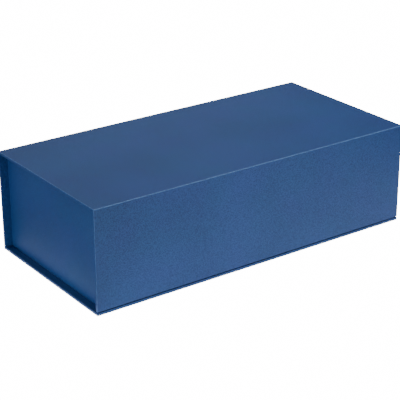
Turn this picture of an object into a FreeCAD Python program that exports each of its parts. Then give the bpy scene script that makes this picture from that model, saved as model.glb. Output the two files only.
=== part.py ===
import FreeCAD, Part
import os
import Sketcher

# Rigid presentation box: a hinged case of four stiff panels (base, spine, lid and flap) round a glued
# tray. X is the long axis, the flap faces -Y, the spine faces +Y, and the box stands on z = 0 with the
# origin at the middle of its base. Millimetres.

SIZES = [
    ("case_length", "350", "outside length of the case along X"),
    ("case_depth", "170", "outside depth, flap face to spine face"),
    ("case_height", "100", "outside height"),
    ("case_board", "2.25", "greyboard of the four case panels"),
    ("tray_board", "2", "greyboard of the tray"),
    ("cover_paper", "0.2", "coloured paper of case and tray"),
    ("liner_paper", "0.2", "lining paper of lid, flap, hinge and tray floor"),
    ("stay_tape", "0.12", "paper tape round the tray's board corners"),
    ("stay_leg", "18", "width of one leg of the corner tape"),
    ("overhang", "8", "case beyond the tray at each end"),
    ("turn_in", "15", "width of the paper turned in over a board"),
    ("liner_margin", "3", "liner's distance from a turned edge"),
    ("fold_radius", "1.2", "outer radius of a paper fold"),
    ("fold_reach", "3", "where a fold's strip ends, from the panel corner"),
    ("hinge_gap", "0.7", "between the mitred boards of a moving fold"),
    ("glued_gap", "0.1", "between the mitred boards of the glued fold"),
    ("flap_lift", "1", "flap's lower edge above the base panel"),
    ("flap_gap", "0.4", "flap liner to tray front"),
    ("lid_gap", "0.3", "lid liner to tray rim"),
    ("magnet_radius", "7.5", "disc magnet in the flap"),
    ("magnet_thickness", "1.5", "disc magnet in the flap"),
    ("keeper_radius", "7.5", "steel disc in the tray front"),
    ("keeper_thickness", "1", "steel disc in the tray front"),
    ("disc_clearance", "0.15", "round a disc in its recess"),
    ("magnet_spacing", "200", "between the two magnets' centres"),
    ("magnet_height", "27", "magnets' centres above the table"),
]

doc = FreeCAD.newDocument("presentation_box")
sheet = doc.addObject("Spreadsheet::Sheet", "Sizes")
for row, (alias, value, meaning) in enumerate(SIZES, start=1):
    sheet.set(f"A{row}", alias)
    sheet.set(f"B{row}", value)
    sheet.set(f"C{row}", meaning)
    sheet.setAlias(f"B{row}", alias)
doc.recompute()

parts = []
volume_checks = []


# ---- expressions shared by several pieces -------------------------------------------------------


def size(alias):
    return f"Sizes.{alias}"


def plus(*terms):
    return "(" + " + ".join(terms) + ")"


def minus(first, *rest):
    return "(" + " - ".join((first,) + rest) + ")"


def negative(term):
    return f"(0 - {term})"


def half(term):
    return f"({term} / 2)"


paper = size("cover_paper")
liner = size("liner_paper")
board = size("case_board")
radius = size("fold_radius")
reach = size("fold_reach")
turn_in = size("turn_in")

# levels through a case panel, from its outer face inwards
board_face = plus(paper, board)
turn_in_face = plus(board_face, paper)
liner_face = plus(turn_in_face, liner)

front = negative(half(size("case_depth")))
back = half(size("case_depth"))
end = half(size("case_length"))
flap_width = minus(size("case_height"), turn_in_face, size("flap_lift"))

# the tray's outside, and levels through a tray wall from its outer face inwards
tray_end = minus(end, size("overhang"))
tray_front = plus(front, liner_face, size("flap_gap"))
tray_back = minus(back, turn_in_face)
tray_bottom = turn_in_face
tray_rim = minus(size("case_height"), liner_face, size("lid_gap"))
stay_face = plus(paper, size("stay_tape"))
wall_board_face = plus(stay_face, size("tray_board"))
wall_inner_face = plus(wall_board_face, paper)
floor_board_low = plus(tray_bottom, paper)
floor_board_high = plus(floor_board_low, size("tray_board"))
floor_face = plus(floor_board_high, liner)
wall_board_top = minus(tray_rim, paper)


# ---- ways of making a piece ---------------------------------------------------------------------

UP = FreeCAD.Vector(0, 0, 1)

# a sketch's names for a point of a line or circle, and for its own origin
START_POINT = 1
END_POINT = 2
CENTRE_POINT = 3
ORIGIN_POINT = (-1, 1)

# where a sketch's points lie, and a circle's radius, before their dimensions move them
ROUGH_PLACE = 50
ROUGH_RADIUS = 7


def keep(piece, label):
    """The piece is one node of the object, written under its label."""
    piece.Label = label
    parts.append(piece)
    return piece


def bind(thing, **expressions):
    for prop, expression in expressions.items():
        thing.setExpression(prop, expression)
    return thing


def move(thing, x="0", y="0", z="0"):
    """Places a piece by expressions; its rotation stays as it is."""
    for axis, expression in zip("xyz", (x, y, z)):
        thing.setExpression(f".Placement.Base.{axis}", expression)
    return thing


def block(name, x, y, z):
    """A rectangular piece between two faces along each axis."""
    thing = doc.addObject("Part::Box", name)
    bind(thing, Length=minus(x[1], x[0]), Width=minus(y[1], y[0]), Height=minus(z[1], z[0]))
    return move(thing, x[0], y[0], z[0])


def fuse(name, pieces):
    thing = doc.addObject("Part::MultiFuse", name)
    thing.Shapes = pieces
    thing.Refine = True
    return thing


def cut(name, base, tool):
    thing = doc.addObject("Part::Cut", name)
    thing.Base = base
    thing.Tool = tool
    return thing


def disc(name, disc_radius, thickness, x, y, z):
    """A round plate whose axis lies along Y, from y towards the back."""
    thing = doc.addObject("Part::Cylinder", name)
    thing.Placement.Rotation = FreeCAD.Rotation(FreeCAD.Vector(1, 0, 0), -90)
    bind(thing, Radius=disc_radius, Height=thickness)
    return move(thing, x, y, z)


def sketch_on(body, name, plane):
    """An empty sketch on one of the body's origin planes."""
    sketch = body.newObject("Sketcher::SketchObject", name)
    for feature in body.Origin.OriginFeatures:
        if feature.Role == plane:
            sketch.AttachmentSupport = [(feature, "")]
    sketch.MapMode = "FlatFace"
    return sketch


def dimension(sketch, expression, *constraint):
    """A driving dimension of a sketch, bound to an expression."""
    index = sketch.addConstraint(Sketcher.Constraint(*constraint))
    sketch.setExpression(f"Constraints[{index}]", expression)


def outline(body, name, plane, corners):
    """A closed sketch of straight edges; each corner is a pair of expressions."""
    sketch = sketch_on(body, name, plane)
    count = len(corners)
    turns = [FreeCAD.Rotation(UP, 360 * i / count) for i in range(count)]
    rough = [turn.multVec(FreeCAD.Vector(ROUGH_PLACE, 0, 0)) for turn in turns]
    for i in range(count):
        sketch.addGeometry(Part.LineSegment(rough[i], rough[(i + 1) % count]), False)
    for i in range(count):
        sketch.addConstraint(Sketcher.Constraint("Coincident", i, END_POINT, (i + 1) % count, START_POINT))
    for i, (across, up) in enumerate(corners):
        dimension(sketch, across, "DistanceX", *ORIGIN_POINT, i, START_POINT, rough[i].x)
        dimension(sketch, up, "DistanceY", *ORIGIN_POINT, i, START_POINT, rough[i].y)
    return sketch


def pad(body, name, plane, corners, length):
    feature = body.newObject("PartDesign::Pad", name)
    feature.Profile = outline(body, f"{name}_outline", plane, corners)
    feature.SideType = "Symmetric"
    return bind(feature, Length=length)


def pocket(body, name, plane, corners, length):
    """A symmetric pocket, noted so that its volume is compared with the shape before it."""
    before = body.Tip
    feature = body.newObject("PartDesign::Pocket", name)
    feature.Profile = outline(body, f"{name}_outline", plane, corners)
    feature.SideType = "Symmetric"
    volume_checks.append((before, feature))
    return bind(feature, Length=length)


# ---- case panels --------------------------------------------------------------------------------
# A panel is drawn flat: X along the box, Y across the panel from its first edge, Z from its outer
# face inwards. The four panels follow each other round the tray, each turned a quarter turn further.

MOVING = size("hinge_gap")
GLUED = size("glued_gap")
FREE = None


def setback(gap):
    """How far a mitred face stands back along the panel, for a gap square to the two faces."""
    return f"({gap} * sqrt(0.5))"


def edge_at(gap, level, free_edge):
    """A corner on a panel's inner side: on the mitred face at a fold, or at free_edge."""
    return (free_edge, level) if gap is FREE else (plus(level, setback(gap)), level)


def edge_corners(gap, level):
    """A board's edge from its outer face to a level on its inner side: square at a free edge, and
    mitred with a blunt tip at a fold."""
    if gap is FREE:
        return [(paper, paper), (paper, level)]
    return [(radius, paper), (radius, minus(radius, setback(gap))), edge_at(gap, level, paper)]


def mirrored(corners, width):
    return [(minus(width, across), up) for across, up in reversed(corners)]


def board_outline(width, first, last):
    return edge_corners(first, board_face) + mirrored(edge_corners(last, board_face), width)


def wrap_edge(gap):
    """The wrap's edge from the outer face inwards: round a free edge, or up to the fold's strip."""
    if gap is FREE:
        return [("0", "0"), ("0", turn_in_face)]
    return [(reach, "0"), (reach, paper)] + edge_corners(gap, turn_in_face)


def window_edge(gap):
    """Where the turn-in leaves the board bare, from the board's face up."""
    return [edge_at(gap, board_face, turn_in), edge_at(gap, turn_in_face, turn_in)]


def place_panel(piece, quarter_turns, y, z):
    piece.Placement.Rotation = FreeCAD.Rotation(FreeCAD.Vector(1, 0, 0), 90 * quarter_turns)
    return move(piece, "0", y, z)


PANELS = {
    "base": (0, front, "0", size("case_depth"), FREE, GLUED),
    "spine": (1, back, "0", size("case_height"), GLUED, MOVING),
    "lid": (2, back, size("case_height"), size("case_depth"), MOVING, MOVING),
    "flap": (3, front, size("case_height"), flap_width, MOVING, FREE),
}

window_length = minus(size("case_length"), turn_in, turn_in)
board_length = minus(size("case_length"), paper, paper)


def magnet_recesses(greyboard):
    """Two round recesses in the flap board's inner face, where the magnets lie flush."""
    sketch = sketch_on(greyboard, "magnet_circles", "XY_Plane")
    sketch.setExpression(".AttachmentOffset.Base.z", board_face)
    from_fold = minus(size("case_height"), size("magnet_height"))
    for side in (-1, 1):
        centre = FreeCAD.Vector(side * ROUGH_PLACE, ROUGH_PLACE, 0)
        circle = sketch.addGeometry(Part.Circle(centre, UP, ROUGH_RADIUS), False)
        across = f"{side} * {half(size('magnet_spacing'))}"
        dimension(sketch, across, "DistanceX", *ORIGIN_POINT, circle, CENTRE_POINT, centre.x)
        dimension(sketch, from_fold, "DistanceY", *ORIGIN_POINT, circle, CENTRE_POINT, centre.y)
        dimension(sketch, plus(size("magnet_radius"), size("disc_clearance")), "Radius", circle, ROUGH_RADIUS)
    before = greyboard.Tip
    recess = greyboard.newObject("PartDesign::Pocket", "magnet_recess")
    recess.Profile = sketch
    volume_checks.append((before, recess))
    bind(recess, Length=size("magnet_thickness"))


for panel, (quarter_turns, y, z, width, first, last) in PANELS.items():
    greyboard = doc.addObject("PartDesign::Body", f"{panel}_board_body")
    pad(greyboard, f"{panel}_board_pad", "YZ_Plane", board_outline(width, first, last), board_length)
    if panel == "flap":
        magnet_recesses(greyboard)
    place_panel(keep(greyboard, f"{panel}_board"), quarter_turns, y, z)

    wrap = doc.addObject("PartDesign::Body", f"{panel}_wrap_body")
    envelope = wrap_edge(first) + mirrored(wrap_edge(last), width)
    pad(wrap, f"{panel}_wrap_pad", "YZ_Plane", envelope, size("case_length"))
    window = window_edge(first) + mirrored(window_edge(last), width)
    pocket(wrap, f"{panel}_wrap_window", "YZ_Plane", window, window_length)
    pocket(wrap, f"{panel}_wrap_room", "YZ_Plane", board_outline(width, first, last), board_length)
    place_panel(keep(wrap, f"{panel}_wrap"), quarter_turns, y, z)


# ---- linings ------------------------------------------------------------------------------------


def liner_edge(gap, low, high):
    """A lining's edge: cut square inside a free edge, or carried down the board's mitred face. low and
    high are the lining's two levels."""
    if gap is FREE:
        return [(size("liner_margin"), high), (size("liner_margin"), low)]
    back_off = setback(gap)
    rise = f"({liner} * sqrt(0.5))"
    return [
        (minus(plus(high, back_off), f"({liner} * sqrt(2))"), high),
        (minus(radius, rise), plus(minus(radius, back_off), rise)),
        (radius, minus(radius, back_off)),
        (plus(low, back_off), low),
    ]


def liner_outline(width, first, last):
    near = liner_edge(first, turn_in_face, liner_face)
    far = liner_edge(last, turn_in_face, liner_face)
    return near + mirrored(far, width)


liner_length = minus(size("case_length"), size("liner_margin"), size("liner_margin"))
for panel in ("lid", "flap"):
    quarter_turns, y, z, width, first, last = PANELS[panel]
    lining = doc.addObject("PartDesign::Body", f"{panel}_liner_body")
    pad(lining, f"{panel}_liner_pad", "YZ_Plane", liner_outline(width, first, last), liner_length)
    place_panel(keep(lining, f"{panel}_liner"), quarter_turns, y, z)

# the spine's side of the lid hinge: a strip down the mitred face and on down the spine's inner face,
# between the two turn-ins
quarter_turns, y, z, width, first, last = PANELS["spine"]
strip_far = [(turn_in, board_face), (turn_in, turn_in_face)]
strip_near = liner_edge(MOVING, board_face, turn_in_face)
strip = doc.addObject("PartDesign::Body", "spine_hinge_liner_body")
pad(
    strip,
    "spine_hinge_liner_pad",
    "YZ_Plane",
    mirrored(strip_near + strip_far, width),
    window_length,
)
place_panel(keep(strip, "spine_hinge_liner"), quarter_turns, y, z)


# ---- paper folds --------------------------------------------------------------------------------
# The cover paper where it goes round a corner between two panels: a quarter tube with a short flat
# run on each panel. It is drawn in the frame of the panel that follows the fold.


def paper_fold(name, panel):
    rounds = []
    for which, tube_radius in (("outer", radius), ("inner", minus(radius, paper))):
        tube = doc.addObject("Part::Cylinder", f"{name}_{which}")
        tube.Placement.Rotation = FreeCAD.Rotation(FreeCAD.Vector(-1, 1, -1), 120)
        tube.Angle = 90
        bind(tube, Radius=tube_radius, Height=size("case_length"))
        rounds.append(move(tube, negative(end), radius, radius))
    whole = (negative(end), end)
    flat_after = block(f"{name}_flat_after", whole, (radius, reach), ("0", paper))
    flat_before = block(f"{name}_flat_before", whole, ("0", paper), (radius, reach))
    bend = cut(f"{name}_bend", rounds[0], rounds[1])
    quarter_turns, y, z = PANELS[panel][:3]
    place_panel(keep(fuse(f"{name}_paper", [bend, flat_after, flat_before]), name), quarter_turns, y, z)


paper_fold("base_spine_fold", "spine")
paper_fold("lid_hinge_fold", "lid")
paper_fold("flap_hinge_fold", "flap")


# ---- tray ---------------------------------------------------------------------------------------


def both_ways(distance):
    return (negative(distance), distance)


def in_from(level):
    """The tray's depth between two like levels of its front and back walls."""
    return (plus(tray_front, level), minus(tray_back, level))


keep(
    block(
        "tray_floor_board_block",
        both_ways(minus(tray_end, wall_board_face)),
        in_from(wall_board_face),
        (floor_board_low, floor_board_high),
    ),
    "tray_floor_board",
)
keep(
    block(
        "tray_floor_liner_block",
        both_ways(minus(tray_end, wall_inner_face)),
        in_from(wall_inner_face),
        (floor_board_high, floor_face),
    ),
    "tray_floor_liner",
)

board_z = (floor_board_low, wall_board_top)
long_x = both_ways(minus(tray_end, stay_face))
front_block = block(
    "tray_front_block", long_x, (plus(tray_front, stay_face), plus(tray_front, wall_board_face)), board_z
)
keep(
    block(
        "tray_back_block",
        long_x,
        (minus(tray_back, wall_board_face), minus(tray_back, stay_face)),
        board_z,
    ),
    "tray_back_board",
)
side_near = minus(tray_end, wall_board_face)
side_far = minus(tray_end, stay_face)
SIDES = {
    "left": lambda low, high: (negative(high), negative(low)),
    "right": lambda low, high: (low, high),
}
for side, along in SIDES.items():
    keep(
        block(f"tray_{side}_block", along(side_near, side_far), in_from(wall_board_face), board_z),
        f"tray_{side}_board",
    )

# steel discs flush in the front wall's outer face, opposite the magnets
keeper_y = plus(tray_front, stay_face)
magnet_y = minus(plus(front, board_face), size("magnet_thickness"))
recesses = []
for side, sign in (("left", "-1"), ("right", "1")):
    x = f"({sign} * {half(size('magnet_spacing'))})"
    recesses.append(
        disc(
            f"keeper_{side}_recess",
            plus(size("keeper_radius"), size("disc_clearance")),
            size("keeper_thickness"),
            x,
            keeper_y,
            size("magnet_height"),
        )
    )
    keeper = disc(
        f"keeper_{side}_disc",
        size("keeper_radius"),
        size("keeper_thickness"),
        x,
        keeper_y,
        size("magnet_height"),
    )
    keep(keeper, f"keeper_{side}")
    magnet = disc(
        f"magnet_{side}_disc",
        size("magnet_radius"),
        size("magnet_thickness"),
        x,
        magnet_y,
        size("magnet_height"),
    )
    keep(magnet, f"magnet_{side}")
keep(
    cut("tray_front_cut", front_block, fuse("keeper_recesses", recesses)),
    "tray_front_board",
)

# paper tape round each upright corner of the boards
leg_end = minus(tray_end, paper, size("stay_leg"))
stay_x = (minus(tray_end, stay_face), minus(tray_end, paper))
ENDS = {
    "front": lambda low, high: (plus(tray_front, low), plus(tray_front, high)),
    "back": lambda low, high: (minus(tray_back, high), minus(tray_back, low)),
}
for edge, into in ENDS.items():
    for side, along in SIDES.items():
        name = f"corner_stay_{edge}_{side}"
        long_leg = block(f"{name}_long", along(leg_end, stay_x[1]), into(paper, stay_face), board_z)
        short_leg = block(
            f"{name}_short", along(*stay_x), into(paper, plus(paper, size("stay_leg"))), board_z
        )
        keep(fuse(f"{name}_tape", [long_leg, short_leg]), name)

# the wrap over each wall: up the outside, over the rim, down the inside, and turned in underneath
outer_z = (tray_bottom, tray_rim)
rim_z = (wall_board_top, tray_rim)
inner_z = (floor_board_high, tray_rim)
under_z = (tray_bottom, floor_board_low)
wrap_x = both_ways(minus(tray_end, paper))
for edge, into in ENDS.items():
    name = f"tray_wrap_{edge}"
    sheets = [
        block(f"{name}_outside", wrap_x, into("0", paper), outer_z),
        block(f"{name}_rim", wrap_x, into("0", wall_board_face), rim_z),
        block(
            f"{name}_inside", both_ways(side_near), into(wall_board_face, wall_inner_face), inner_z
        ),
        block(f"{name}_under", wrap_x, into("0", turn_in), under_z),
    ]
    keep(fuse(f"{name}_paper", sheets), name)
for side, along in SIDES.items():
    name = f"tray_wrap_{side}"
    sheets = [
        block(f"{name}_outside", along(minus(tray_end, paper), tray_end), in_from("0"), outer_z),
        block(f"{name}_rim", along(side_near, tray_end), in_from(wall_board_face), rim_z),
        block(
            f"{name}_inside",
            along(minus(tray_end, wall_inner_face), side_near),
            in_from(wall_inner_face),
            inner_z,
        ),
        block(f"{name}_under", along(minus(tray_end, turn_in), tray_end), in_from(turn_in), under_z),
    ]
    keep(fuse(f"{name}_paper", sheets), name)


# ---- checks and files ---------------------------------------------------------------------------

doc.recompute()
for thing in doc.Objects:
    if "Invalid" in thing.State or "Error" in thing.State:
        raise RuntimeError(f"{thing.Name} failed: {thing.State}")
for before, after in volume_checks:
    if not after.Shape.Volume < before.Shape.Volume:
        raise RuntimeError(f"{after.Name} cut nothing")
for piece in parts:
    shape = piece.Shape
    if shape.isNull() or not shape.isValid() or len(shape.Solids) != 1:
        raise RuntimeError(f"{piece.Label} isn't one valid solid")

os.makedirs("parts", exist_ok=True)
for piece in parts:
    piece.Shape.exportStep(os.path.join("parts", f"{piece.Label}.step"))
    box = piece.Shape.BoundBox
    spans = [(box.XMin, box.XMax), (box.YMin, box.YMax), (box.ZMin, box.ZMax)]
    limits = "  ".join(f"{low:8.2f} {high:8.2f}" for low, high in spans)
    print(f"{piece.Label:28s} {piece.Shape.Volume:12.2f} mm3  {limits}")
print(len(parts), "nodes written")
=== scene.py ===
import math
from collections import namedtuple

import bmesh
import bpy
from mathutils import Matrix, Quaternion, Vector


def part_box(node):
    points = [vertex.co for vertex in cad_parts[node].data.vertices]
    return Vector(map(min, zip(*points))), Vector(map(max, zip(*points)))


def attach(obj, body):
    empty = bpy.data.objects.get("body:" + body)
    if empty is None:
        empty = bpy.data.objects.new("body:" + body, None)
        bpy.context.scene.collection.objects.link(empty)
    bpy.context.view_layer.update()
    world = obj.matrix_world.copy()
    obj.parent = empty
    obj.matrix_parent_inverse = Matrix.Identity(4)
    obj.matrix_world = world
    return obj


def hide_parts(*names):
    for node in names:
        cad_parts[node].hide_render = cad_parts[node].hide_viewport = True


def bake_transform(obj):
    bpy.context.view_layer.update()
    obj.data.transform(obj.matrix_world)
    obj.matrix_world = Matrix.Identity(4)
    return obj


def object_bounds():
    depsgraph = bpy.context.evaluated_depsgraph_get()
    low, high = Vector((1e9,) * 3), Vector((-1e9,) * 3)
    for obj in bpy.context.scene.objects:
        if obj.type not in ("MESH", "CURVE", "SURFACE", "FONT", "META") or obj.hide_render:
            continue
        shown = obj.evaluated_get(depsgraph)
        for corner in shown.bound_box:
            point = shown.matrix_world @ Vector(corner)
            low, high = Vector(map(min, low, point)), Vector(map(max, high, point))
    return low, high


bl_info = {
    "name": "Presentation box",
    "version": (1, 0, 0),
    "blender": (4, 5, 0),
    "location": "3D View > Sidebar > Presentation box",
    "description": "Cover paper, linings, boards and stage of a hinged rigid box",
    "category": "Add Mesh",
}

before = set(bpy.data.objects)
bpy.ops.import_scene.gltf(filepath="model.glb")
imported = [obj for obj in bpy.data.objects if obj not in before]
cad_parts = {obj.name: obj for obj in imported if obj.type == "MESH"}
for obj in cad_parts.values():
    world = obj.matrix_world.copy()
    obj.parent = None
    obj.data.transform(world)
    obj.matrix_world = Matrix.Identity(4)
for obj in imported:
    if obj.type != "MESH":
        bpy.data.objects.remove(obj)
CAD_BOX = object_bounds()

# ---- measures of the frame, in metres -----------------------------------------------------------

MM = 0.001
TINY = 1e-6
ALONG, ACROSS, INWARD = 0, 1, 2

CASE_LOW, CASE_HIGH = CAD_BOX
CASE_END = CASE_HIGH.x
DEPTH = CASE_HIGH.y - CASE_LOW.y
HEIGHT = CASE_HIGH.z - CASE_LOW.z

# levels through a case panel from its outer face inwards, and the paper folds between panels
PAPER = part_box("base_board")[0].z
BOARD_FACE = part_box("base_board")[1].z
TURN_IN_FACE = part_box("base_wrap")[1].z
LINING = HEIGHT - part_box("lid_liner")[0].z - TURN_IN_FACE
FOLD_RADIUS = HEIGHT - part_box("spine_board")[1].z
FOLD_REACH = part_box("base_spine_fold")[1].z
TURN_IN = CASE_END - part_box("spine_hinge_liner")[1].x
LINER_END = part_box("lid_liner")[1].x
LINER_MARGIN = CASE_END - LINER_END
HINGE_LINER_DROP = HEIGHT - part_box("spine_hinge_liner")[0].z
FLAP_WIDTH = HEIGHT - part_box("flap_wrap")[0].z

# the tray: its outside, its walls' thickness with both papers, and its floor
TRAY_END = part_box("tray_wrap_right")[1].x
TRAY_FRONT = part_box("tray_wrap_front")[0].y
TRAY_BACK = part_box("tray_wrap_back")[1].y
TRAY_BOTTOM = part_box("tray_wrap_front")[0].z
TRAY_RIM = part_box("tray_wrap_front")[1].z
TRAY_WALL = TRAY_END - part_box("tray_floor_liner")[1].x
TRAY_FLOOR_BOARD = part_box("tray_floor_board")[1].z
TRAY_TURN_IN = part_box("tray_wrap_front")[1].y - TRAY_FRONT

FREE, GLUED, MOVING = "free", "glued", "moving"

# each case panel as it is drawn flat: its body, its quarter turns about X, where its first edge
# lies, its width from that edge, and the kinds of its first and last edge
CasePanel = namedtuple("CasePanel", "body quarter_turns corner width first last")
PANELS = {
    "base": CasePanel("box", 0, Vector((0, CASE_LOW.y, CASE_LOW.z)), DEPTH, FREE, GLUED),
    "spine": CasePanel("box", 1, Vector((0, CASE_HIGH.y, CASE_LOW.z)), HEIGHT, GLUED, MOVING),
    "lid": CasePanel("lid", 2, Vector((0, CASE_HIGH.y, CASE_HIGH.z)), DEPTH, MOVING, MOVING),
    "flap": CasePanel("flap", 3, Vector((0, CASE_LOW.y, CASE_HIGH.z)), FLAP_WIDTH, MOVING, FREE),
}

# how a mesh's faces are told apart while a wrap or a fold is cut open
COVERED, FOLD_SIDE = 0, 1

# the part of a normal along X that still counts as none, and the upward part below which a face
# looks down
SIDEWAYS = 0.01
DOWNWARD = -0.5

# how near a free corner a face of the turn-ins comes, just past the 45 degree line's length
CORNER_REACH = 1.5 * TURN_IN

# how far in from a fold's outer faces its block's inner faces lie, in edge roundings
CORE_INSET = 1.2

# the angle between faces up to which a paper is shaded smooth
COVER_SMOOTH = math.radians(50)
LINING_SMOOTH = math.radians(40)

# ---- patterns of the finishes -------------------------------------------------------------------

# the attribute that holds each point's place at rest, so that a pattern stays on a folding paper
PAPER_PLACE = "paper_place"

# each noise's waves in a metre, its levels of detail and their weight
CLOUDS = (26, 2.0, 0.5)
DRIFT = (11, 1.0, 0.5)
MOTTLE = (1450, 2.0, 0.7)
GRAIN = (3400, 2.0, 0.6)
# the next pattern breaks up both the paler wear and the painted highlight along folds and edges
SCUFF_AND_GLINT = (900, 2.0, 0.6)
PULP = (160, 4.0, 0.6)
SPECKS = (1400, 2.0, 0.5)
MARKS = (700, 3.0, 0.6)

# the noise values between which each tint goes from none to full
CLOUDS_BAND = (0.36, 0.64)
DRIFT_BAND = (0.38, 0.62)
DYE_BAND = (0.445, 0.555)
SCUFF_AND_GLINT_BAND = (0.2, 0.6)
PULP_BAND = (0.35, 0.65)
SPECKS_BAND = (0.58, 0.7)

# how much of each tint shows, and how mottle and grain share the papers' dye and relief
COOL_SHARE = 0.75
DYE_SHARE, DRIFT_SHARE = 0.84, 0.14
PULP_SHARE, SPECKS_SHARE = 0.5, 0.5
MAJOR, MINOR = 0.6, 0.4

# the distances from a fold's crest and from a case edge between which wear and painted highlight
# go from none to full, and how pale the rubbed edges with their painted highlight are beside the
# folds
FOLD_WEAR_AND_HIGHLIGHT = (0.27 * MM, 0.03 * MM)
RUBBED_AND_HIGHLIGHTED = (0.46 * MM, 0.26 * MM)
EDGE_WEAR_AND_HIGHLIGHT = 0.9

# the relief and gloss of paper, board and metal: a spread is how far the roughness varies, and
# METAL_SHADE is how dark the marks on metal are
PAPER_IOR = 1.34
PAPER_RELIEF = 0.018 * MM
BOARD_RELIEF = 0.03 * MM
PAPER_GLOSS_SPREAD = 0.1
METAL_GLOSS_SPREAD = 0.12
METAL_SHADE = 0.8
LINING_DULLER = 0.08
BOARD_ROUGH, TAPE_ROUGH, NICKEL_ROUGH, STEEL_ROUGH = 0.9, 0.7, 0.12, 0.3

# the finish of each kind of CAD node that stays, by a word in its name
NODE_FINISHES = {
    "board": "recycled_board",
    "stay": "paper_tape",
    "magnet": "magnet_nickel",
    "keeper": "rolled_steel",
}

# ---- measures of the stage ----------------------------------------------------------------------

# half sides, middle and drop below the box: the floor as it is seen, and the unseen patch of it
# that throws light up at the front and the left end
FLOOR_HALF, FLOOR_MIDDLE, FLOOR_DROP = (12.0, 12.0), (0.0, 0.0), 0.05 * MM
BOUNCE_HALF, BOUNCE_MIDDLE, BOUNCE_DROP = (0.2405, 0.37), (0.056, -0.24), 0.1 * MM

# where each light stands, and the length of its side
LIGHTS = {
    "top_light": ((0.4, -0.3, 1.1), 0.8),
    "key_light": ((0.9, -1.1, 0.55), 0.9),
    "left_card": ((-0.8, -0.22, 0.05), 0.4),
    "back_light": ((0.6, 1.2, 0.75), 0.9),
    "rear_fill": ((-0.9, 1.3, 0.9), 0.9),
}

# how near the camera still sees
NEAREST_SEEN = 0.01


# ---- sizes and colours that a user would change -------------------------------------------------


def length(label, text, millimetres):
    return bpy.props.FloatProperty(
        name=label, description=text, default=millimetres * MM, unit="LENGTH", precision=5
    )


def share(label, text, value):
    return bpy.props.FloatProperty(name=label, description=text, default=value, subtype="FACTOR")


def amount(label, text, value):
    return bpy.props.FloatProperty(name=label, description=text, default=value)


def turn(label, text, degrees):
    return bpy.props.FloatProperty(
        name=label, description=text, default=math.radians(degrees), subtype="ANGLE"
    )


def power(label, text, watts):
    return bpy.props.FloatProperty(name=label, description=text, default=watts, unit="POWER")


def colour(label, text, red, green, blue):
    return bpy.props.FloatVectorProperty(
        name=label, description=text, default=(red, green, blue), subtype="COLOR", size=3
    )


def point(label, text, x, y, z):
    return bpy.props.FloatVectorProperty(
        name=label, description=text, default=(x, y, z), subtype="XYZ", unit="LENGTH", size=3
    )


class PaperSizes(bpy.types.PropertyGroup):
    moving_gap: length("Hinge gap", "Between the mitred boards of a moving fold", 0.7)
    glued_gap: length("Glued gap", "Between the mitred boards of the glued fold", 0.1)
    edge_round: length("Edge rounding", "Radius of the paper round a board's edge", 0.4)
    rim_round: length("Rim rounding", "Radius of the paper round the tray's edges", 0.5)
    seam_width: length("Seam width", "Width of the groove where two turn-ins meet", 0.3)
    seam_depth: length("Seam depth", "Depth of that groove", 0.12)
    ghost_step: length("Ghost line", "How far a lining sinks past the edge of a turn-in", 0.14)
    ghost_slope: length("Ghost slope", "Width over which the lining sinks", 1.2)
    corner_lap: length("Corner lap", "Long wall's paper that shows past each tray corner", 1.4)
    floor_margin: length("Floor margin", "Gap round the tray floor's lining", 0.1)
    hinge_lip: length("Hinge lip", "Depth that the papers reach down past a board's tip", 0.45)
    round_steps: bpy.props.IntProperty(
        name="Rounding steps", description="Faces across a rounded paper edge", default=3, min=1
    )
    fold_steps: bpy.props.IntProperty(
        name="Fold steps", description="Faces across a fold between panels", default=12, min=2
    )


class Finishes(bpy.types.PropertyGroup):
    cover: colour("Cover", "Dyed cover paper", 0.016, 0.064, 0.244)
    cover_deep: colour("Cover, deep", "Cover paper where the dye is deeper", 0.004, 0.025, 0.108)
    cover_teal: colour("Cover, cool", "Cover paper's greener clouds", 0.010, 0.073, 0.230)
    # the crease colour is partly paler stretched or rubbed paper, partly a painted highlight along
    # the folds and edges
    crease_and_highlight: colour("Crease", "Cover paper stretched on folds or rubbed", 0.072, 0.160, 0.370)
    lining: colour("Lining", "Dyed lining paper", 0.012, 0.050, 0.172)
    lining_deep: colour("Lining, deep", "Lining paper of deeper dye", 0.008, 0.037, 0.140)
    greyboard: colour("Greyboard", "Recycled board", 0.30, 0.27, 0.23)
    greyboard_fibre: colour("Board fibres", "Darker fibres in the board", 0.17, 0.145, 0.12)
    tape: colour("Corner tape", "Brown paper tape", 0.45, 0.31, 0.17)
    tape_fibre: colour("Tape fibres", "Darker fibres in the tape", 0.31, 0.20, 0.10)
    nickel: colour("Magnet plating", "Nickel on the magnets", 0.66, 0.62, 0.56)
    steel: colour("Keeper steel", "Rolled steel of the keepers", 0.50, 0.50, 0.51)
    paper_roughness: share("Paper roughness", "Roughness of the satin cover paper", 0.5)


class Stage(bpy.types.PropertyGroup):
    aim: point("Aim", "What the camera points at", -0.00682, -0.00136, 0.03808)
    azimuth: turn("Azimuth", "Camera's turn round the box, from its front", -35.47)
    elevation: turn("Elevation", "Camera's height above the horizon", 23.03)
    roll: turn("Roll", "Camera's turn about its own axis", 0.26)
    distance: length("Distance", "From the aim to the camera", 1282.7)
    lens: amount("Lens", "Focal length in millimetres on a 36 mm sensor", 119.97)
    white: colour("White", "Floor, light cards and studio walls", 1.0, 1.0, 1.0)
    floor_glow: amount("Floor brightness", "Brightness of the floor as it is seen", 16.0)
    floor_bounce: amount("Floor bounce", "Light that the floor sends up", 1.75)
    walls: amount("Room light", "Brightness of the studio walls", 0.23)
    top_light: power("Top light", "Soft light overhead", 11.0)
    key_light: power("Key light", "Soft light above the front and right", 5.0)
    left_card: power("Left card", "Light thrown on the left end from the floor", 3.5)
    back_light: power("Back light", "Soft light behind the box, that the top reflects", 1.4)
    rear_fill: power("Rear fill", "Soft light on the spine", 6.0)


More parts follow.
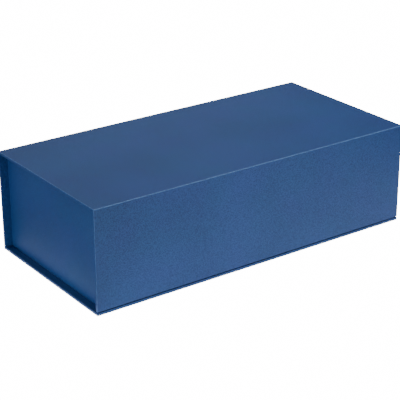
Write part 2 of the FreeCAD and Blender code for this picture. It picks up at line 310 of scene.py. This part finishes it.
# ---- meshes -------------------------------------------------------------------------------------


def bar(section, low, high):
    """A closed bar along X between two places, with the given section across and inward."""
    mesh = bmesh.new()
    add_bar(mesh, section, low, high)
    return mesh


def add_bar(mesh, section, low, high):
    """Adds such a bar to a mesh."""
    first = mesh.faces.new([mesh.verts.new((low, across, inward)) for across, inward in section])
    grown = bmesh.ops.extrude_face_region(mesh, geom=[first])["geom"]
    far = [v for v in grown if isinstance(v, bmesh.types.BMVert)]
    bmesh.ops.translate(mesh, verts=far, vec=(high - low, 0, 0))
    walls = dict.fromkeys(face for vert in (*first.verts, *far) for face in vert.link_faces)
    bmesh.ops.recalc_face_normals(mesh, faces=list(walls))


def faces_at(mesh, axis, level):
    """The faces that lie in the plane where one coordinate has this value."""
    return [f for f in mesh.faces if all(abs(v.co[axis] - level) < TINY for v in f.verts)]


def edges_on(mesh, *planes):
    """The edges that lie in at least two of the planes, each an axis and a level."""
    found = []
    for edge in mesh.edges:
        held = [all(abs(v.co[axis] - level) < TINY for v in edge.verts) for axis, level in planes]
        if sum(held) > 1:
            found.append(edge)
    return found


def slice_faces(mesh, faces, place, normal):
    """Cuts these faces, and no others, along a plane."""
    geom = dict.fromkeys(faces)
    for face in faces:
        geom.update(dict.fromkeys((*face.edges, *face.verts)))
    bmesh.ops.bisect_plane(mesh, geom=list(geom), plane_co=place, plane_no=normal)


def round_off(mesh, edges, radius, steps=None):
    """Rounds edges with a bevel."""
    bmesh.ops.bevel(
        mesh,
        geom=edges,
        offset=radius,
        offset_type="OFFSET",
        segments=steps or sizes().round_steps,
        profile=0.5,
        affect="EDGES",
        material=-1,
        clamp_overlap=True,
    )


def drop(mesh, faces):
    bmesh.ops.delete(mesh, geom=faces, context="FACES")


def thicken(mesh, thickness):
    """Gives a sheet its thickness on the side that its faces turn away from."""
    bmesh.ops.solidify(mesh, geom=mesh.faces[:], thickness=thickness)


def middle(face):
    return face.calc_center_median()


def panel_place(name):
    """Carries what is drawn flat to where the panel is."""
    panel = PANELS[name]
    quarter_turns = Matrix.Rotation(panel.quarter_turns * math.pi / 2, 4, "X")
    return Matrix.Translation(panel.corner) @ quarter_turns


def piece(name, mesh, finish, place=None, smooth_angle=COVER_SMOOTH):
    """Ends a mesh as an object at the origin, with smooth shading up to an angle between faces."""
    for face in mesh.faces:
        face.material_index = 0
        face.smooth = True
    for edge in mesh.edges:
        edge.smooth = len(edge.link_faces) == 2 and edge.calc_face_angle(0) < smooth_angle
    bmesh.ops.dissolve_degenerate(mesh, dist=TINY, edges=mesh.edges)
    if place is not None:
        mesh.transform(place)
    data = bpy.data.meshes.new(name)
    mesh.to_mesh(data)
    mesh.free()
    places = data.attributes.new(PAPER_PLACE, "FLOAT_VECTOR", "POINT")
    places.data.foreach_set("vector", [c for v in data.vertices for c in v.co])
    data.materials.append(finish)
    thing = bpy.data.objects.new(name, data)
    bpy.context.scene.collection.objects.link(thing)
    weighted = thing.modifiers.new("Flat faces lead", "WEIGHTED_NORMAL")
    weighted.keep_sharp = True
    return thing


# ---- finishes -----------------------------------------------------------------------------------


class Value:
    """A socket on which sums can be written as Python expressions."""

    def __init__(self, graph, socket):
        self.graph = graph
        self.socket = socket

    def sum(self, operation, first, second):
        return self.graph.node("ShaderNodeMath", {"operation": operation}, {0: first, 1: second})

    def __add__(self, other):
        return self.sum("ADD", self, other)

    def __radd__(self, other):
        return self.sum("ADD", other, self)

    def __sub__(self, other):
        return self.sum("SUBTRACT", self, other)

    def __rsub__(self, other):
        return self.sum("SUBTRACT", other, self)

    def __mul__(self, other):
        return self.sum("MULTIPLY", self, other)

    def __rmul__(self, other):
        return self.sum("MULTIPLY", other, self)


class Graph:
    """The nodes of one material."""

    def __init__(self, name):
        self.material = bpy.data.materials.new(name)
        self.material.use_nodes = True
        self.tree = self.material.node_tree
        self.tree.nodes.clear()

    def node(self, kind, settings=(), sockets=(), output=0):
        """Adds a node: its settings first, then its sockets' values or links."""
        made = self.tree.nodes.new(kind)
        for name, value in dict(settings).items():
            setattr(made, name, value)
        for name, value in dict(sockets).items():
            if isinstance(value, Value):
                self.tree.links.new(value.socket, made.inputs[name])
            else:
                made.inputs[name].default_value = value
        return Value(self, made.outputs[output]) if made.outputs else None

    def noise(self, place, pattern):
        scale, detail, roughness = pattern
        sockets = {"Vector": place, "Scale": scale, "Detail": detail, "Roughness": roughness}
        return self.node("ShaderNodeTexNoise", sockets=sockets)

    def between(self, value, low, high):
        """How far a value is from low to high, held between 0 and 1."""
        limits = {"Value": value, "From Min": low, "From Max": high}
        return self.node("ShaderNodeMapRange", {"clamp": True}, limits)

    def mix(self, factor, first, second):
        """A colour between two others."""
        sockets = {"Factor": factor, 6: opaque(first), 7: opaque(second)}
        return self.node("ShaderNodeMix", {"data_type": "RGBA"}, sockets, output=2)

    def parts(self, vector):
        """A vector's three parts."""
        first = self.node("ShaderNodeSeparateXYZ", sockets={"Vector": vector})
        return [Value(self, socket) for socket in first.socket.node.outputs]

    def size_of(self, value):
        return self.node("ShaderNodeMath", {"operation": "ABSOLUTE"}, {0: value})

    def least(self, first, second):
        return self.node("ShaderNodeMath", {"operation": "MINIMUM"}, {0: first, 1: second})

    def bump(self, height, distance):
        return self.node("ShaderNodeBump", sockets={"Height": height, "Distance": distance})

    def end(self, kind, sockets):
        """Ends the material with a shader."""
        shader = self.node(kind, sockets=sockets)
        self.node("ShaderNodeOutputMaterial", sockets={"Surface": shader})
        return self.material


def opaque(value):
    """A colour as a socket takes it, whether it is a value or three numbers."""
    return value if isinstance(value, Value) else (*value, 1.0)


def paper_finish(name, plain, deep, cool, roughness, wear_and_highlight_colour=None):
    """Dyed satin paper: broad clouds, a fine mottle, short fibres and, if given, paler wear mixed
    with a painted highlight.
    """
    g = Graph(name)
    place = g.node("ShaderNodeAttribute", {"attribute_name": PAPER_PLACE}, output="Vector")
    clouds = g.between(g.noise(place, CLOUDS), *CLOUDS_BAND)
    drift = g.between(g.noise(place, DRIFT), *DRIFT_BAND)
    mottle = g.noise(place, MOTTLE)
    grain = g.noise(place, GRAIN)
    dye = g.between(MAJOR * mottle + MINOR * grain, *DYE_BAND)
    tone = g.mix(clouds * COOL_SHARE, plain, cool)
    base = g.mix(DYE_SHARE * dye + DRIFT_SHARE * drift, tone, deep)
    # paler along the folds and case edges: partly wear, partly a painted highlight
    if wear_and_highlight_colour is not None:
        base = g.mix(wear_and_highlight_mask(g, place), base, wear_and_highlight_colour)
    sockets = {
        "Base Color": base,
        "Roughness": roughness - PAPER_GLOSS_SPREAD / 2 + PAPER_GLOSS_SPREAD * mottle,
        "IOR": PAPER_IOR,
        "Normal": g.bump(MAJOR * grain + MINOR * mottle, PAPER_RELIEF),
    }
    return g.end("ShaderNodeBsdfPrincipled", sockets)


def wear_and_highlight_mask(g, place):
    """Where the cover is paler along the folds and the case's outer edges: partly stretched or
    rubbed paper, partly a painted highlight.
    """
    along, across, upward = g.parts(place)
    from_end = CASE_END - g.size_of(along)
    from_side = CASE_HIGH.y - g.size_of(across)
    from_level = g.least(CASE_HIGH.z - upward, upward - CASE_LOW.z)
    crest = (2 - math.sqrt(2)) * FOLD_RADIUS
    # the fold crests: paler stretched paper and a painted highlight line
    folds = g.between(from_side + from_level, *(crest + reach for reach in FOLD_WEAR_AND_HIGHLIGHT))
    near = g.least(from_end + from_level, from_end + from_side)
    # the case's outer edges: rubbed paper with a painted highlight line
    edges = g.between(near, *RUBBED_AND_HIGHLIGHTED)
    return (folds + EDGE_WEAR_AND_HIGHLIGHT * edges) * g.between(g.noise(place, SCUFF_AND_GLINT), *SCUFF_AND_GLINT_BAND)


def board_finish(name, plain, fibre, roughness):
    """Recycled board or tape: pulp with darker fibres and specks."""
    g = Graph(name)
    place = g.node("ShaderNodeTexCoord", output="Object")
    pulp = g.noise(place, PULP)
    specks = g.noise(place, SPECKS)
    pulpy = PULP_SHARE * g.between(pulp, *PULP_BAND)
    speckled = SPECKS_SHARE * g.between(specks, *SPECKS_BAND)
    sockets = {
        "Base Color": g.mix(pulpy + speckled, plain, fibre),
        "Roughness": roughness,
        "Normal": g.bump(pulp + specks, BOARD_RELIEF),
    }
    return g.end("ShaderNodeBsdfPrincipled", sockets)


def metal_finish(name, plain, roughness):
    """Plated or rolled discs with fine handling marks."""
    g = Graph(name)
    marks = g.noise(g.node("ShaderNodeTexCoord", output="Object"), MARKS)
    sockets = {
        "Base Color": g.mix(marks, plain, tuple(METAL_SHADE * c for c in plain)),
        "Metallic": 1.0,
        "Roughness": roughness + METAL_GLOSS_SPREAD * marks,
    }
    return g.end("ShaderNodeBsdfPrincipled", sockets)


def sizes():
    return bpy.context.scene.box_paper_sizes


def shared_finish(name):
    """One of the box's finishes, made when it is first asked for."""
    found = bpy.data.materials.get(name)
    if found is not None:
        return found
    c = bpy.context.scene.box_finishes
    makers = {
        "dyed_cover": lambda: paper_finish(
            name, c.cover, c.cover_deep, c.cover_teal, c.paper_roughness, c.crease_and_highlight
        ),
        "dyed_lining": lambda: paper_finish(
            name, c.lining, c.lining_deep, c.lining, c.paper_roughness + LINING_DULLER
        ),
        "recycled_board": lambda: board_finish(name, c.greyboard, c.greyboard_fibre, BOARD_ROUGH),
        "paper_tape": lambda: board_finish(name, c.tape, c.tape_fibre, TAPE_ROUGH),
        "magnet_nickel": lambda: metal_finish(name, c.nickel, NICKEL_ROUGH),
        "rolled_steel": lambda: metal_finish(name, c.steel, STEEL_ROUGH),
    }
    return makers[name]()


# ---- pieces -------------------------------------------------------------------------------------


def setback(kind):
    """How far a mitred face stands back along its panel."""
    gap = {MOVING: sizes().moving_gap, GLUED: sizes().glued_gap}[kind]
    return gap * math.sqrt(0.5)


def wrap_edge(kind):
    """A wrapped panel's edge in section: square, or a step under a fold's paper and the mitre."""
    if kind == FREE:
        return [(0, 0), (0, TURN_IN_FACE)]
    tip = FOLD_RADIUS - setback(kind)
    lap = sizes().edge_round
    return [
        (FOLD_REACH, 0),
        (FOLD_REACH, lap),
        (FOLD_RADIUS, lap),
        (FOLD_RADIUS, tip),
        (TURN_IN_FACE + setback(kind), TURN_IN_FACE),
    ]


def opposite(section, width):
    """An edge's section turned over for the far side of a panel."""
    return [(width - across, inward) for across, inward in reversed(section)]


def panel_wrap(name):
    """A panel's cover paper: over the outer face, round the ends and free edge, and turned in."""
    panel = PANELS[name]
    section = wrap_edge(panel.first) + opposite(wrap_edge(panel.last), panel.width)
    mesh = bar(section, -CASE_END, CASE_END)
    edge_kinds = {0: panel.first, panel.width: panel.last}
    free_edges = [level for level, kind in edge_kinds.items() if kind == FREE]
    planes = [(ALONG, -CASE_END), (ALONG, CASE_END), (INWARD, 0), (INWARD, TURN_IN_FACE)]
    planes += [(ACROSS, level) for level in free_edges]
    covered = {face for plane in planes for face in faces_at(mesh, *plane)}
    for face in mesh.faces:
        face.material_index = COVERED if face in covered else FOLD_SIDE
    round_off(mesh, edges_on(mesh, *planes), sizes().edge_round)
    drop(mesh, [f for f in mesh.faces if f.material_index == FOLD_SIDE])
    cut_window(mesh, panel)
    thicken(mesh, PAPER)
    for level in free_edges:
        cut_corner_seams(mesh, level)
    tabs = []
    if panel.first == MOVING:
        tabs.append(mitre_tab(MOVING))
    if panel.last == MOVING:
        tabs.append(opposite(mitre_tab(MOVING), panel.width))
    lining_end = CASE_END - TURN_IN if name == "spine" else LINER_END
    for tab in tabs:
        add_bar(mesh, tab, -CASE_END, -lining_end)
        add_bar(mesh, tab, lining_end, CASE_END)
    made = piece(f"{name}_cover", mesh, shared_finish("dyed_cover"), panel_place(name))
    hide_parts(f"{name}_wrap")
    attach(made, panel.body)


def mitre_cover(kind, thickness):
    """Section of a paper's end past a mitred board face: a lip that hides the board's tip."""
    tip = FOLD_RADIUS - setback(kind)
    outer = FOLD_RADIUS - thickness
    outer_tip = tip + thickness * (math.sqrt(2) - 1)
    lip = sizes().hinge_lip
    return [(outer, outer_tip), (outer, lip), (FOLD_RADIUS, lip), (FOLD_RADIUS, tip)]


def mitre_tab(kind):
    """Section of the paper that is turned down over a mitred board face, past the lining's end."""
    foot = TURN_IN_FACE + setback(kind)
    head = foot - PAPER * math.sqrt(2)
    return [(head, TURN_IN_FACE)] + mitre_cover(kind, PAPER) + [(foot, TURN_IN_FACE)]


def far_turn_in(panel):
    """Where the turn-in along a panel's far edge ends, or None where that edge has no turn-in."""
    return panel.width - TURN_IN if panel.last == FREE else None


def cut_window(mesh, panel):
    """Leaves the inner face open inside the turn-ins, which run along the ends and free edges."""
    window = CASE_END - TURN_IN
    near, far = TURN_IN if panel.first == FREE else None, far_turn_in(panel)
    for x in (-window, window):
        slice_faces(mesh, faces_at(mesh, INWARD, TURN_IN_FACE), (x, 0, 0), (1, 0, 0))
    for level in (near, far):
        if level is not None:
            slice_faces(mesh, faces_at(mesh, INWARD, TURN_IN_FACE), (0, level, 0), (0, 1, 0))
    bare = []
    for face in faces_at(mesh, INWARD, TURN_IN_FACE):
        place = middle(face)
        inside = near is None or place.y > near
        inside = inside and (far is None or place.y < far)
        if inside and abs(place.x) < window:
            bare.append(face)
    drop(mesh, bare)


def cut_corner_seams(mesh, level):
    """Sinks a groove along the 45 degree line where two turn-ins meet at a free corner."""
    into = 1 if level == 0 else -1
    half_seam = sizes().seam_width / 2
    for side in (-1, 1):
        corner = Vector((side * CASE_END, level, TURN_IN_FACE))
        normal = Vector((side, into, 0)).normalized()
        for offset in (-half_seam, 0, half_seam):
            near = [f for f in faces_at(mesh, INWARD, TURN_IN_FACE) if reaches(f, corner)]
            slice_faces(mesh, near, corner + offset * normal, normal)
        near = [f for f in faces_at(mesh, INWARD, TURN_IN_FACE) if reaches(f, corner)]
        verts = dict.fromkeys(v for f in near for v in f.verts)
        sunk = [v for v in verts if abs((v.co - corner).dot(normal)) < TINY]
        bmesh.ops.translate(mesh, verts=sunk, vec=(0, 0, -sizes().seam_depth))


def reaches(face, corner):
    """Whether a face comes within a turn-in's width of a corner."""
    return any((v.co - corner).length < CORNER_REACH for v in face.verts)


def paper_fold(name, panel):
    """The cover paper round the corner between a panel and the one before it."""
    core = CORE_INSET * sizes().edge_round
    outer_corner = [(0, FOLD_REACH), (0, 0), (FOLD_REACH, 0)]
    inner_corner = [(FOLD_REACH, core), (core, core), (core, FOLD_REACH)]
    mesh = bar(outer_corner + inner_corner, -CASE_END, CASE_END)
    outside = faces_at(mesh, INWARD, 0) + faces_at(mesh, ACROSS, 0)
    for face in mesh.faces:
        face.material_index = COVERED if face in outside else FOLD_SIDE
    steps = sizes().fold_steps
    round_off(mesh, edges_on(mesh, (INWARD, 0), (ACROSS, 0)), FOLD_RADIUS, steps)
    round_off(mesh, edges_on(mesh, (INWARD, core), (ACROSS, core)), FOLD_RADIUS - core, steps)
    round_off(mesh, [e for e in mesh.edges if rims_an_end(e)], sizes().edge_round)
    lost = faces_at(mesh, ALONG, -CASE_END) + faces_at(mesh, ALONG, CASE_END)
    lost += [f for f in mesh.faces if f.material_index == FOLD_SIDE and abs(f.normal.x) < SIDEWAYS]
    drop(mesh, lost)
    thicken(mesh, PAPER)
    return piece(name + "_paper", mesh, shared_finish("dyed_cover"), panel_place(panel))


def rims_an_end(edge):
    """Whether an edge runs between a fold's outer face and one of its ends."""
    first, second = (v.co.x for v in edge.verts)
    sides = {f.material_index for f in edge.link_faces}
    return sides == {COVERED, FOLD_SIDE} and abs(first - second) < TINY


def liner_edge(kind, low, high):
    """A lining's edge in section: cut square inside a free edge, or carried down the mitre."""
    if kind == FREE:
        return [(LINER_MARGIN, high), (LINER_MARGIN, low)]
    head = (high + setback(kind) - LINING * math.sqrt(2), high)
    return [head] + mitre_cover(kind, LINING) + [(low + setback(kind), low)]


def sink_lining(mesh, low, high, panel):
    """The lining sinks where the turned-in paper under it ends, and leaves a ghost line."""
    slope = sizes().ghost_slope
    window = CASE_END - TURN_IN
    far = far_turn_in(panel)
    for x in (window, window - slope):
        for side in (-1, 1):
            slice_faces(mesh, mesh.faces[:], (side * x, 0, 0), (1, 0, 0))
    if far is not None:
        for level in (far, far - slope):
            slice_faces(mesh, mesh.faces[:], (0, level, 0), (0, 1, 0))
    sunk = []
    for vert in mesh.verts:
        flat = abs(vert.co.z - low) < TINY or abs(vert.co.z - high) < TINY
        inside = abs(vert.co.x) < window - slope + TINY
        inside = inside and (far is None or vert.co.y < far - slope + TINY)
        if flat and inside:
            sunk.append(vert)
    bmesh.ops.translate(mesh, verts=sunk, vec=(0, 0, -sizes().ghost_step))


def panel_liner(name):
    """A panel's lining: inside its turn-ins' edges, and down the mitre of each moving edge."""
    panel = PANELS[name]
    low, high = TURN_IN_FACE, TURN_IN_FACE + LINING
    near, far = (liner_edge(kind, low, high) for kind in (panel.first, panel.last))
    mesh = bar(near + opposite(far, panel.width), -LINER_END, LINER_END)
    sink_lining(mesh, low, high, panel)
    finish = shared_finish("dyed_lining")
    made = piece(f"{name}_lining", mesh, finish, panel_place(name), LINING_SMOOTH)
    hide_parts(f"{name}_liner")
    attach(made, panel.body)


def spine_lining():
    """The hinge strip: down the spine's mitre and on down its inner face between the turn-ins."""
    foot = HEIGHT - HINGE_LINER_DROP
    hinge = liner_edge(MOVING, BOARD_FACE, TURN_IN_FACE)
    section = [(foot, TURN_IN_FACE), (foot, BOARD_FACE)] + opposite(hinge, HEIGHT)
    mesh = bar(section, TURN_IN - CASE_END, CASE_END - TURN_IN)
    finish = shared_finish("dyed_lining")
    made = piece("spine_lining", mesh, finish, panel_place("spine"), LINING_SMOOTH)
    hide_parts("spine_hinge_liner")
    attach(made, "box")


def wall_slab(low, high):
    """A closed block between two corners."""
    mesh = bmesh.new()
    bmesh.ops.create_cube(mesh, size=1)
    bmesh.ops.scale(mesh, verts=mesh.verts, vec=high - low)
    bmesh.ops.translate(mesh, verts=mesh.verts, vec=(low + high) / 2)
    return mesh


def end_tray_paper(mesh, wall):
    """Gives a wall's paper its thickness and ends it as a piece."""
    thicken(mesh, PAPER)
    made = piece(f"tray_{wall}_paper", mesh, shared_finish("dyed_cover"))
    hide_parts(f"tray_wrap_{wall}")
    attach(made, "box")


def extend_under(mesh, edges, vector):
    """Turns a wall's paper in under the tray floor."""
    grown = bmesh.ops.extrude_edge_only(mesh, edges=edges)["geom"]
    verts = [v for v in grown if isinstance(v, bmesh.types.BMVert)]
    bmesh.ops.translate(mesh, verts=verts, vec=vector)


def long_wall_paper(wall, outer, into):
    """Paper of the front or back wall: up the outside, round the corners, over the rim and down.

    outer is where the wall's outer face lies, and into the way from there to the tray's middle.
    """
    inner = outer + into * TRAY_WALL
    low = Vector((-TRAY_END, min(outer, inner), TRAY_BOTTOM))
    high = Vector((TRAY_END, max(outer, inner), TRAY_RIM))
    mesh = wall_slab(low, high)
    planes = [(ALONG, low.x), (ALONG, high.x), (ACROSS, outer), (ACROSS, inner), (INWARD, high.z)]
    rims = [e for e in edges_on(mesh, *planes) if not upright_inside(e, inner)]
    round_off(mesh, rims, sizes().rim_round)
    lap = outer + into * sizes().corner_lap
    for end in (low.x, high.x):
        slice_faces(mesh, faces_at(mesh, ALONG, end), (0, lap, 0), (0, 1, 0))
        drop(mesh, [f for f in faces_at(mesh, ALONG, end) if (middle(f).y - lap) * into > 0])
    inside_end = TRAY_END - TRAY_WALL
    for x in (-inside_end, inside_end):
        slice_faces(mesh, faces_at(mesh, ACROSS, inner), (x, 0, 0), (1, 0, 0))
    slice_faces(mesh, faces_at(mesh, ACROSS, inner), (0, 0, TRAY_FLOOR_BOARD), (0, 0, 1))
    inside = faces_at(mesh, ACROSS, inner)
    hidden = [f for f in inside if abs(middle(f).x) > inside_end or middle(f).z < TRAY_FLOOR_BOARD]
    drop(mesh, hidden)
    edges = [e for e in mesh.edges if lies_low(e, ACROSS, inner)]
    extend_under(mesh, edges, (0, into * (TRAY_TURN_IN - TRAY_WALL), 0))
    end_tray_paper(mesh, wall)


def upright_inside(edge, inner):
    """Whether an edge stands upright on the wall's inner face."""
    a, b = (v.co for v in edge.verts)
    return abs(a.y - inner) < TINY and abs(b.y - inner) < TINY and abs(a.z - b.z) > TINY


def lies_low(edge, axis, inner):
    """Whether an edge runs along the bottom of a wall's inner face, which lies across an axis."""
    places = [v.co for v in edge.verts]
    return all(abs(p[axis] - inner) < TINY and abs(p.z - TRAY_BOTTOM) < TINY for p in places)


def end_wall_paper(wall, side):
    """Paper of an end wall, between the laps of the long walls' papers."""
    lap = sizes().corner_lap
    outer, inner = side * TRAY_END, side * (TRAY_END - TRAY_WALL)
    low = Vector((min(outer, inner), TRAY_FRONT + lap, TRAY_BOTTOM))
    high = Vector((max(outer, inner), TRAY_BACK - lap, TRAY_RIM))
    mesh = wall_slab(low, high)
    for end in (low.y, high.y):
        drop(mesh, faces_at(mesh, ACROSS, end))
    rims = edges_on(mesh, (ALONG, outer), (ALONG, inner), (INWARD, high.z))
    round_off(mesh, rims, sizes().rim_round)
    front, back = TRAY_FRONT + TRAY_WALL, TRAY_BACK - TRAY_WALL
    for y in (front, back):
        slice_faces(mesh, past_outside(mesh, outer), (0, y, 0), (0, 1, 0))
    drop(mesh, [f for f in past_outside(mesh, outer) if not front < middle(f).y < back])
    slice_faces(mesh, faces_at(mesh, ALONG, inner), (0, 0, TRAY_FLOOR_BOARD), (0, 0, 1))
    drop(mesh, [f for f in faces_at(mesh, ALONG, inner) if middle(f).z < TRAY_FLOOR_BOARD])
    edges = [e for e in mesh.edges if lies_low(e, ALONG, inner)]
    extend_under(mesh, edges, (-side * (TRAY_TURN_IN - TRAY_WALL), 0, 0))
    end_tray_paper(mesh, wall)


def past_outside(mesh, outer):
    """An end wall's faces from its rim down the inside: neither outside nor underneath."""
    outside = faces_at(mesh, ALONG, outer)
    return [f for f in mesh.faces if f not in outside and f.normal.z > DOWNWARD]


def floor_lining():
    """The tray floor's lining, a little short of the walls."""
    margin = Vector((sizes().floor_margin, sizes().floor_margin, 0))
    low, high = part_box("tray_floor_liner")
    low, high = low + margin, high - margin
    mesh = wall_slab(low, high)
    planes = [(axis, corner[axis]) for axis in (ALONG, ACROSS) for corner in (low, high)]
    round_off(mesh, edges_on(mesh, (INWARD, high.z), *planes), LINING / 2)
    made = piece("floor_lining", mesh, shared_finish("dyed_lining"))
    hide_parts("tray_floor_liner")
    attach(made, "box")


# ---- operators ----------------------------------------------------------------------------------


class CoverPanels(bpy.types.Operator):
    """Wrap the four case panels in cover paper"""

    bl_idname = "presentation_box.cover_panels"
    bl_label = "Cover panels"

    def execute(self, context):
        for panel in PANELS:
            panel_wrap(panel)
        return {"FINISHED"}


class FoldPapers(bpy.types.Operator):
    """Carry the cover paper round the corners between panels"""

    bl_idname = "presentation_box.fold_papers"
    bl_label = "Paper folds"

    def execute(self, context):
        base_fold = paper_fold("base_spine_fold", "spine")
        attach(base_fold, "box")
        lid_fold = paper_fold("lid_hinge_fold", "lid")
        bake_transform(lid_fold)
        flap_fold = paper_fold("flap_hinge_fold", "flap")
        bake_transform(flap_fold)
        folds = {
            "base_spine_fold": base_fold,
            "lid_hinge_fold": lid_fold,
            "flap_hinge_fold": flap_fold,
        }
        for node, fold in folds.items():
            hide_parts(node)
        return {"FINISHED"}


class Linings(bpy.types.Operator):
    """Line the lid, the flap, the spine at the hinge, and the tray floor"""

    bl_idname = "presentation_box.linings"
    bl_label = "Linings"

    def execute(self, context):
        panel_liner("lid")
        panel_liner("flap")
        spine_lining()
        floor_lining()
        return {"FINISHED"}


class TrayPapers(bpy.types.Operator):
    """Wrap the four tray walls in cover paper"""

    bl_idname = "presentation_box.tray_papers"
    bl_label = "Tray papers"

    def execute(self, context):
        long_wall_paper("front", TRAY_FRONT, 1)
        long_wall_paper("back", TRAY_BACK, -1)
        end_wall_paper("left", -1)
        end_wall_paper("right", 1)
        return {"FINISHED"}


class InnerParts(bpy.types.Operator):
    """Give the boards, corner tapes, magnets and keepers their finishes"""

    bl_idname = "presentation_box.inner_parts"
    bl_label = "Boards, tapes and discs"

    def execute(self, context):
        for name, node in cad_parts.items():
            if node.hide_render:
                continue
            finishes = [finish for word, finish in NODE_FINISHES.items() if word in name]
            if not finishes:
                raise RuntimeError(f"{name} has no finish")
            node.data.materials.clear()
            node.data.materials.append(shared_finish(finishes[0]))
        return {"FINISHED"}


class StudioStage(bpy.types.Operator):
    """Set the floor, lights and camera"""

    bl_idname = "presentation_box.stage"
    bl_label = "Stage"

    def execute(self, context):
        stage = context.scene.box_stage
        place = (*FLOOR_MIDDLE, CASE_LOW.z - FLOOR_DROP)
        seen = stage_plane("floor", FLOOR_HALF, place, stage.white, stage.floor_glow)
        seen.visible_diffuse = False
        seen.visible_glossy = False
        seen.visible_transmission = False
        seen.visible_shadow = False
        place = (*BOUNCE_MIDDLE, CASE_LOW.z - BOUNCE_DROP)
        bounce = stage_plane("floor_bounce", BOUNCE_HALF, place, stage.white, stage.floor_bounce)
        bounce.visible_camera = False
        world = bpy.data.worlds.new("studio")
        world.use_nodes = True
        sky = world.node_tree.nodes["Background"]
        sky.inputs["Color"].default_value = (*stage.white, 1)
        sky.inputs["Strength"].default_value = stage.walls
        context.scene.world = world
        for name, (place, size) in LIGHTS.items():
            area_light(name, Vector(place), size, getattr(stage, name))
        set_camera(stage)
        return {"FINISHED"}


def stage_plane(name, half, place, tint, glow):
    """A level glowing plane with its middle at a place."""
    mesh = bmesh.new()
    bmesh.ops.create_grid(mesh, x_segments=1, y_segments=1, size=1)
    bmesh.ops.scale(mesh, verts=mesh.verts, vec=(*half, 1))
    bmesh.ops.translate(mesh, verts=mesh.verts, vec=place)
    data = bpy.data.meshes.new(name)
    mesh.to_mesh(data)
    mesh.free()
    sockets = {"Color": opaque(tint), "Strength": glow}
    data.materials.append(Graph(name).end("ShaderNodeEmission", sockets))
    plane = bpy.data.objects.new(name, data)
    bpy.context.scene.collection.objects.link(plane)
    return plane


def area_light(name, place, size, watts):
    """A square soft light that faces the middle of the box."""
    light = bpy.data.lights.new(name, "AREA")
    light.size = size
    light.energy = watts
    lamp = bpy.data.objects.new(name, light)
    bpy.context.scene.collection.objects.link(lamp)
    lamp.location = place
    towards = Vector((0, 0, HEIGHT / 2)) - place
    lamp.rotation_mode = "QUATERNION"
    lamp.visible_camera = False
    lamp.rotation_quaternion = towards.to_track_quat("-Z", "Y")


def set_camera(stage):
    """Stands the camera at its distance from the aim, looking at it."""
    lens = bpy.data.cameras.new("camera")
    lens.lens = stage.lens
    lens.clip_start = NEAREST_SEEN
    camera = bpy.data.objects.new("camera", lens)
    bpy.context.scene.collection.objects.link(camera)
    a, e = stage.azimuth, stage.elevation
    away = Vector((math.sin(a) * math.cos(e), -math.cos(a) * math.cos(e), math.sin(e)))
    camera.location = Vector(stage.aim) + away * stage.distance
    camera.rotation_mode = "QUATERNION"
    level = (-away).to_track_quat("-Z", "Y")
    camera.rotation_quaternion = level @ Quaternion((0, 0, 1), -stage.roll)
    bpy.context.scene.camera = camera


class BoxPanel(bpy.types.Panel):
    """The steps and settings of the box, in the sidebar"""

    bl_idname = "VIEW3D_PT_presentation_box"
    bl_label = "Presentation box"
    bl_space_type = "VIEW_3D"
    bl_region_type = "UI"
    bl_category = "Presentation box"

    def draw(self, context):
        for step in STEPS:
            self.layout.operator(step.bl_idname)
        for group_name, kind in GROUPS.items():
            column = self.layout.column()
            for name in kind.__annotations__:
                column.prop(getattr(context.scene, group_name), name)


STEPS = (CoverPanels, FoldPapers, Linings, TrayPapers, InnerParts, StudioStage)
GROUPS = {"box_paper_sizes": PaperSizes, "box_finishes": Finishes, "box_stage": Stage}


def register():
    for group in GROUPS.values():
        bpy.utils.register_class(group)
    for name, group in GROUPS.items():
        setattr(bpy.types.Scene, name, bpy.props.PointerProperty(type=group))
    for step in (*STEPS, BoxPanel):
        bpy.utils.register_class(step)


def unregister():
    for step in (*STEPS, BoxPanel):
        bpy.utils.unregister_class(step)
    for name, group in GROUPS.items():
        delattr(bpy.types.Scene, name)
        bpy.utils.unregister_class(group)


def main():
    register()
    bpy.ops.presentation_box.cover_panels()
    bpy.ops.presentation_box.fold_papers()
    bpy.ops.presentation_box.linings()
    bpy.ops.presentation_box.tray_papers()
    bpy.ops.presentation_box.inner_parts()
    bpy.ops.presentation_box.stage()


if __name__ == "__main__":
    main()
